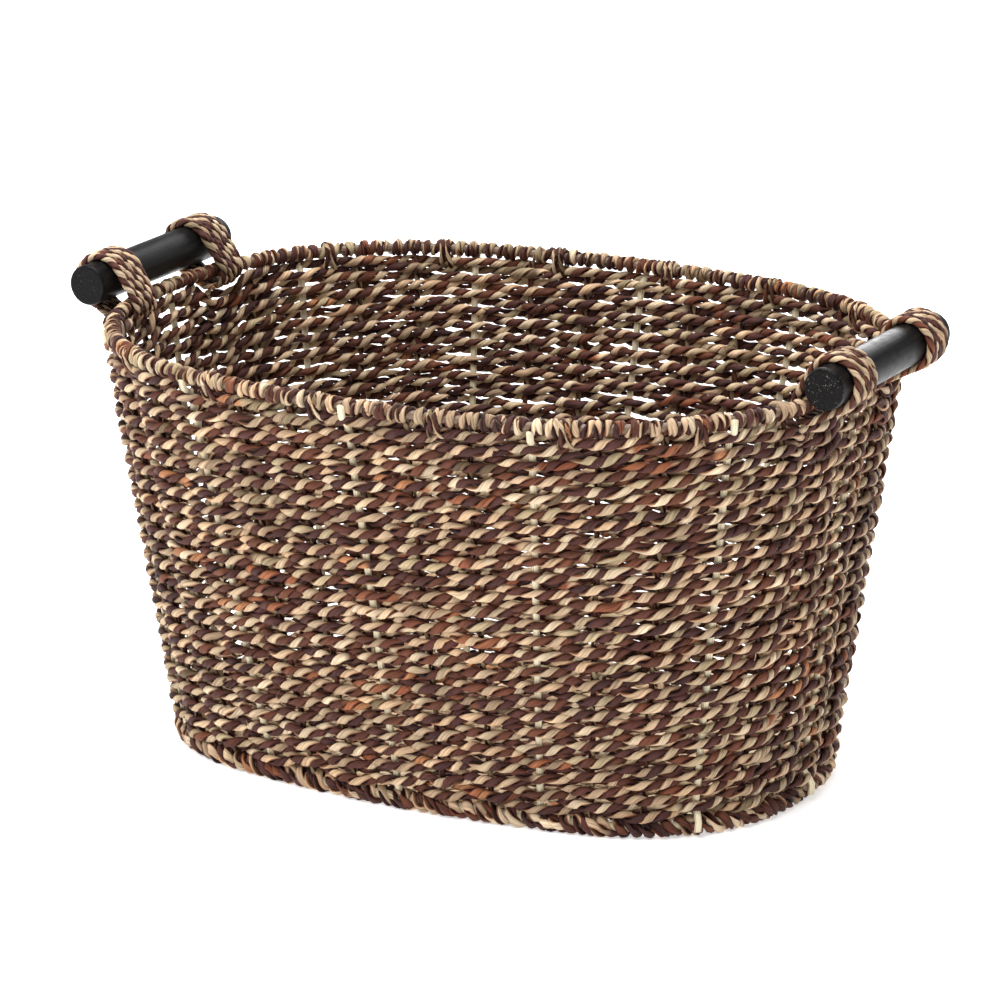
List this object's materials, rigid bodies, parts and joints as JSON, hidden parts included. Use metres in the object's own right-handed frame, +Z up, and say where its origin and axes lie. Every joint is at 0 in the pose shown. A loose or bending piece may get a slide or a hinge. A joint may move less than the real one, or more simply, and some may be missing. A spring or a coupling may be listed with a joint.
{
  "type": "seagrass storage basket",
  "caption": "Flared oval storage basket woven from two-ply seagrass cord, with a wrapped rim and wooden bar handles hung in rope loops.",
  "frame": {"origin": "on the floor, under the middle of the basket", "axes": "+X along the basket towards the right handle, +Y towards the back, +Z up"},
  "size_m": [0.5404, 0.3958, 0.3002],
  "materials": {
    "seagrass_weave": "two-ply twisted cord, pale straw and purple-brown, matt",
    "seagrass_binding": "close wrapping of twisted cord, matt",
    "seagrass_warp": "thin doubled dark cord, matt",
    "seagrass_rope": "side by side passes of twisted cord, matt",
    "rattan_cane": "peeled pale cane, satin",
    "black_stained_wood": "black stain, satin, open grain on the cut ends"
  },
  "bodies": {
    "basket": {"base_mat": "seagrass_weave", "base_stakes": "rattan_cane", "foot_hoop": "rattan_cane", "foot_binding": "seagrass_binding", "wall_weave_lower": "seagrass_weave", "wall_weave_middle": "seagrass_weave", "wall_weave_upper": "seagrass_weave", "cane_stake_01": "rattan_cane", "cane_stake_04": "rattan_cane", "cane_stake_07": "rattan_cane", "cane_stake_10": "rattan_cane", "cane_stake_13": "rattan_cane", "cane_stake_16": "rattan_cane", "cane_stake_19": "rattan_cane", "cane_stake_22": "rattan_cane", "cane_stake_25": "rattan_cane", "cane_stake_28": "rattan_cane", "cane_stake_31": "rattan_cane", "cane_stake_34": "rattan_cane", "cord_stake_02": "seagrass_warp", "cord_stake_03": "seagrass_warp", "cord_stake_05": "seagrass_warp", "cord_stake_06": "seagrass_warp", "cord_stake_08": "seagrass_warp", "cord_stake_09": "seagrass_warp", "cord_stake_11": "seagrass_warp", "cord_stake_12": "seagrass_warp", "cord_stake_14": "seagrass_warp", "cord_stake_15": "seagrass_warp", "cord_stake_17": "seagrass_warp", "cord_stake_18": "seagrass_warp", "cord_stake_20": "seagrass_warp", "cord_stake_21": "seagrass_warp", "cord_stake_23": "seagrass_warp", "cord_stake_24": "seagrass_warp", "cord_stake_26": "seagrass_warp", "cord_stake_27": "seagrass_warp", "cord_stake_29": "seagrass_warp", "cord_stake_30": "seagrass_warp", "cord_stake_32": "seagrass_warp", "cord_stake_33": "seagrass_warp", "cord_stake_35": "seagrass_warp", "cord_stake_36": "seagrass_warp", "rim_hoop": "rattan_cane", "rim_binding": "seagrass_binding", "rim_lashings": "seagrass_binding"},
    "left_loops": {"left_front_loop": "seagrass_rope", "left_back_loop": "seagrass_rope"},
    "right_loops": {"right_front_loop": "seagrass_rope", "right_back_loop": "seagrass_rope"},
    "left_handle_bar": {"left_bar": "black_stained_wood"},
    "right_handle_bar": {"right_bar": "black_stained_wood"}
  },
  "joints": [
    {"name": "left_handle_rock", "type": "hinge", "parent": "basket", "child": "left_loops", "pos_m": [-0.23569, 0, 0.267], "axis": [0, 1, 0], "range_deg": [-35, 55]},
    {"name": "right_handle_rock", "type": "hinge", "parent": "basket", "child": "right_loops", "pos_m": [0.23569, 0, 0.267], "axis": [0, -1, 0], "range_deg": [-35, 55]},
    {"name": "left_bar_spin", "type": "hinge", "parent": "left_loops", "child": "left_handle_bar", "pos_m": [-0.2525, 0, 0.2825], "axis": [0, 1, 0], "continuous": true},
    {"name": "right_bar_spin", "type": "hinge", "parent": "right_loops", "child": "right_handle_bar", "pos_m": [0.2525, 0, 0.2825], "axis": [0, 1, 0], "continuous": true}
  ]
}
